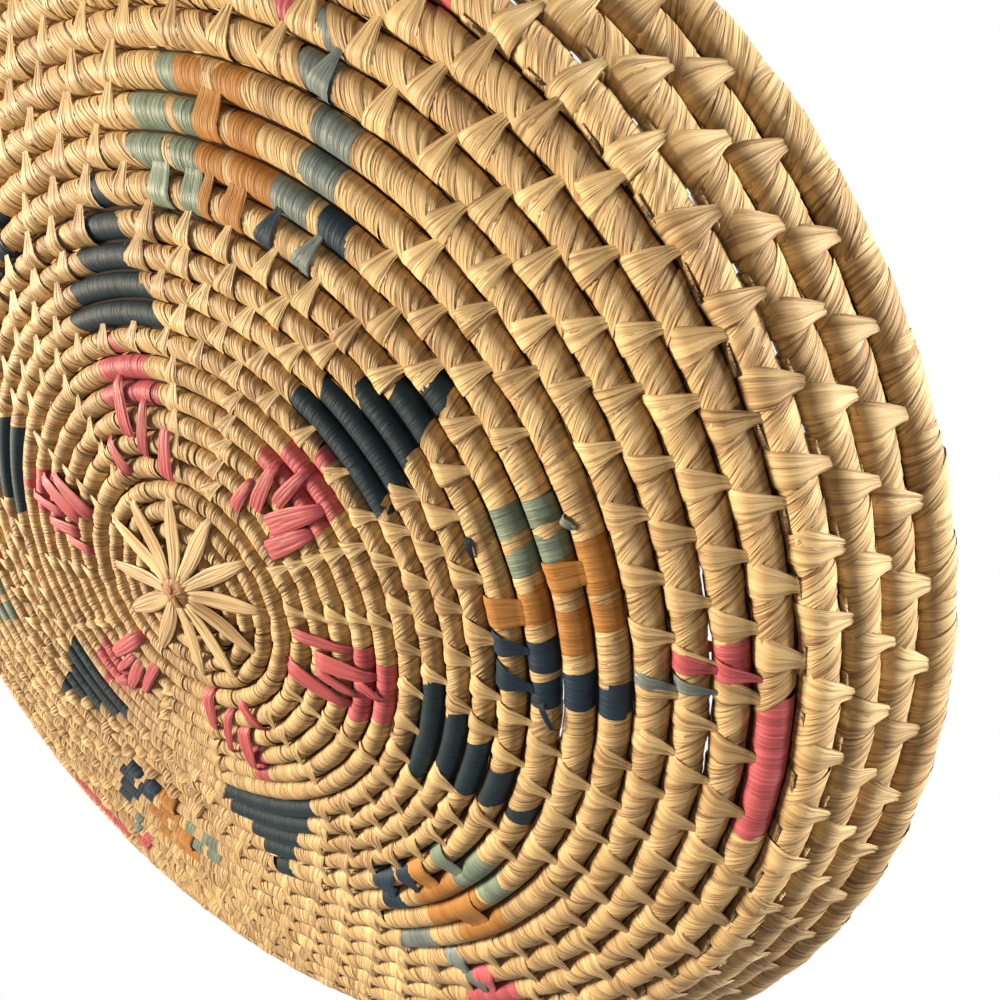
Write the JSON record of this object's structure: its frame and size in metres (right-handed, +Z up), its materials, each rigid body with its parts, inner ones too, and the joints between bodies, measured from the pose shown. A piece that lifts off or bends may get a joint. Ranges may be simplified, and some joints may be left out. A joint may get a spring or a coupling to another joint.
{
  "type": "woven basket tray",
  "caption": "Round coiled basket tray with a low flared wall, a star of strips under the middle and dyed geometric motifs on the base.",
  "frame": {"origin": "on the surface that the tray stands on, under the middle of its outline", "axes": "+Z up out of the tray's mouth, X and Y across; the coil's outer end is on the -X side"},
  "size_m": [0.3744, 0.3742, 0.0348],
  "materials": {
    "straw": "dry plant fibre, matte with a faint sheen",
    "pink": "dyed plant fibre, matte",
    "teal": "dyed plant fibre, matte",
    "navy": "dyed plant fibre, matte",
    "orange": "dyed plant fibre, matte",
    "sage": "dyed plant fibre, matte"
  },
  "bodies": {
    "root": {"centre_coil": "straw", "base_coil": "straw", "wall_coil": "straw", "rim_coil": "straw", "start_knot": "straw", "star_strip_1": "straw", "star_strip_2": "straw", "star_strip_3": "straw", "star_strip_4": "straw", "star_strip_5": "straw", "star_strip_6": "straw", "star_strip_7": "straw", "star_strip_8": "straw", "star_strip_9": "straw", "star_strip_10": "straw", "star_strip_11": "straw", "star_strip_12": "straw", "pink_petal_1": "pink", "pink_petal_2": "pink", "pink_petal_3": "pink", "pink_petal_4": "pink", "pink_petal_5": "pink", "pink_petal_6": "pink", "teal_wedge_1": "teal", "teal_wedge_2": "teal", "teal_wedge_3": "teal", "teal_wedge_4": "teal", "teal_wedge_5": "teal", "teal_wedge_6": "teal", "sage_bar_1": "sage", "orange_bar_1": "orange", "navy_bar_1": "navy", "sage_bar_2": "sage", "orange_bar_2": "orange", "navy_bar_2": "navy", "sage_bar_3": "sage", "orange_bar_3": "orange", "navy_bar_3": "navy", "sage_bar_4": "sage", "orange_bar_4": "orange", "navy_bar_4": "navy", "sage_bar_5": "sage", "orange_bar_5": "orange", "navy_bar_5": "navy", "sage_bar_6": "sage", "orange_bar_6": "orange", "navy_bar_6": "navy", "pink_band_1": "pink", "pink_band_2": "pink", "pink_band_3": "pink", "pink_band_4": "pink", "pink_band_5": "pink", "pink_band_6": "pink"}
  },
  "joints": []
}
